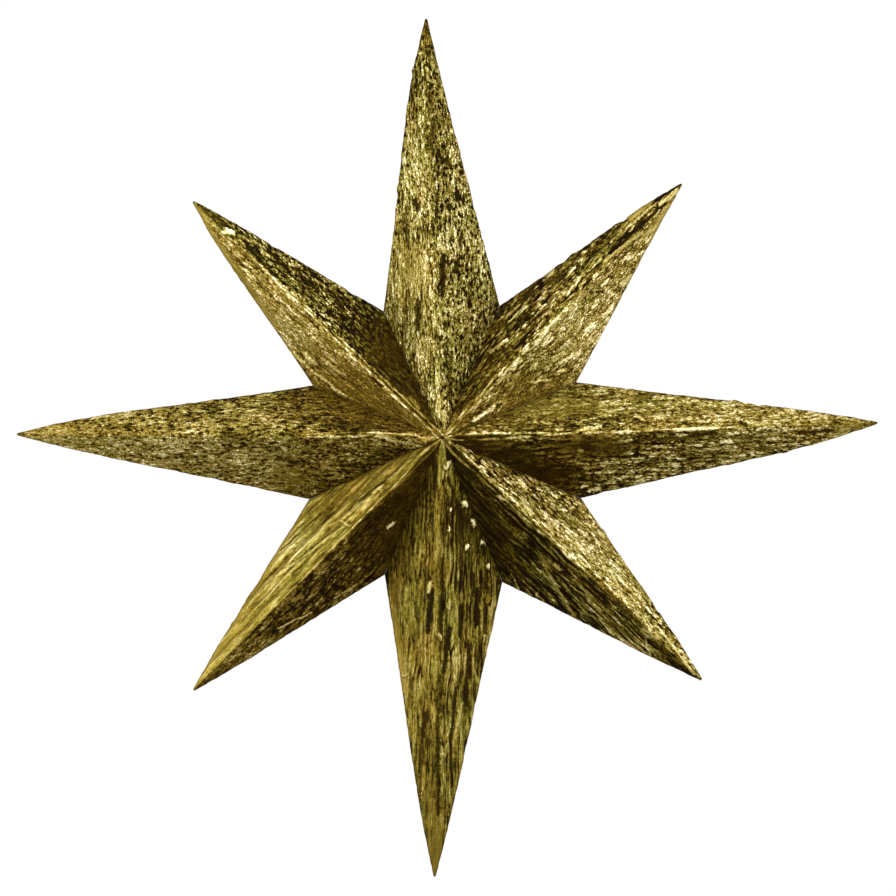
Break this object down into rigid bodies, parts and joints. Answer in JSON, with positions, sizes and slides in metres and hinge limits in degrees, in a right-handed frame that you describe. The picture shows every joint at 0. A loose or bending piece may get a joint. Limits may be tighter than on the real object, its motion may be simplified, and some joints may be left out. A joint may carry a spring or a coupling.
{
  "type": "decorative star",
  "caption": "Folded foil-card wall star with long and short pointed rays rising to a centre peak, flat back board, felt pads and a swinging hanger ring.",
  "frame": {"origin": "on the wall plane behind the point where the fold crests meet", "axes": "the star faces -Y with its top ray along +Z; +X is to the right as seen from the front; +Y points into the wall"},
  "size_m": [0.3012, 0.0368, 0.3002],
  "materials": {
    "gold_foil_card": "crinkled antique gold foil on card, dark in the hollows",
    "patch_card": "bare brown card",
    "board": "grey-brown solid board",
    "plated_steel": "yellow-plated, satin",
    "felt": "dark felt"
  },
  "bodies": {
    "star": {"ray_right": "gold_foil_card", "ray_upper_right": "gold_foil_card", "ray_top": "gold_foil_card", "ray_upper_left": "gold_foil_card", "ray_left": "gold_foil_card", "ray_lower_left": "gold_foil_card", "ray_bottom": "gold_foil_card", "ray_lower_right": "gold_foil_card", "pad_upper_right": "felt", "pad_upper_left": "felt", "pad_lower_left": "felt", "pad_lower_right": "felt", "centre_patch": "patch_card", "back_board": "board", "hanger_plate": "plated_steel", "hanger_rivet": "plated_steel", "rivet_washer": "plated_steel"},
    "ring": {"hanger_ring": "plated_steel"}
  },
  "joints": [
    {"name": "ring_swing", "type": "hinge", "parent": "star", "child": "ring", "pos_m": [0, -0.0021, 0.06], "axis": [1, 0, 0], "range_deg": [-3, 183]}
  ]
}
